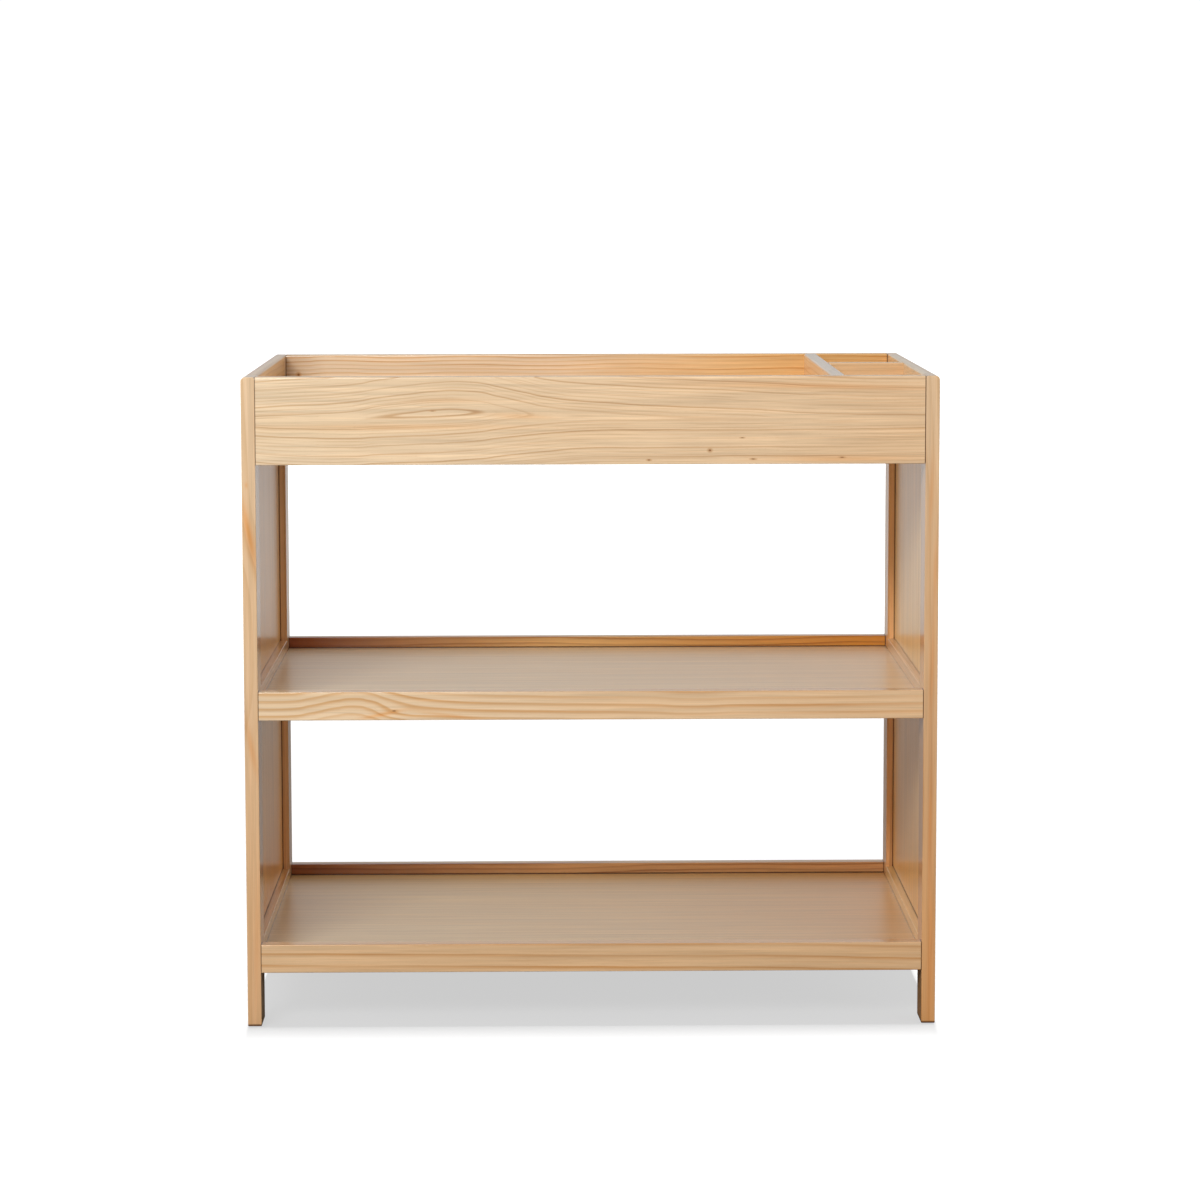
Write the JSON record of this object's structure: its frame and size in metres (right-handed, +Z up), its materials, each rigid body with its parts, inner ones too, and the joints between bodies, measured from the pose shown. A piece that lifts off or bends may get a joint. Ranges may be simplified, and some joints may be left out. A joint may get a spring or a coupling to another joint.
{
  "type": "changing table",
  "caption": "Free-standing changing table in clear pine: rimmed top tray with side compartments, open shelves below, panelled side frames.",
  "frame": {"origin": "on the floor, in the middle of the footprint", "axes": "+X along the width, towards the tray compartments; +Y from the front to the back; +Z up"},
  "size_m": [0.95, 0.54, 0.9],
  "materials": {
    "solid_pine": "clear satin lacquer",
    "pine_panel": "clear satin lacquer",
    "bolt_steel": "zinc plated",
    "nut_steel": "zinc plated",
    "dowel_beech": "raw",
    "glide_plastic": "matte"
  },
  "bodies": {
    "root": {"left_front_leg": "solid_pine", "left_rear_leg": "solid_pine", "left_top_rail": "solid_pine", "left_middle_rail": "solid_pine", "left_bottom_rail": "solid_pine", "left_upper_panel": "pine_panel", "left_lower_panel": "pine_panel", "right_front_leg": "solid_pine", "right_rear_leg": "solid_pine", "right_top_rail": "solid_pine", "right_middle_rail": "solid_pine", "right_bottom_rail": "solid_pine", "right_upper_panel": "pine_panel", "right_lower_panel": "pine_panel", "tray_front_board": "solid_pine", "tray_rear_board": "solid_pine", "tray_bottom": "pine_panel", "tray_divider": "solid_pine", "tray_cross_divider": "solid_pine", "middle_shelf_front_rail": "solid_pine", "middle_shelf_rear_rail": "solid_pine", "middle_shelf_panel": "pine_panel", "bottom_shelf_front_rail": "solid_pine", "bottom_shelf_rear_rail": "solid_pine", "bottom_shelf_panel": "pine_panel", "connector_bolts": "bolt_steel", "barrel_nuts": "nut_steel", "wood_dowels": "dowel_beech", "foot_glides": "glide_plastic"}
  },
  "joints": []
}
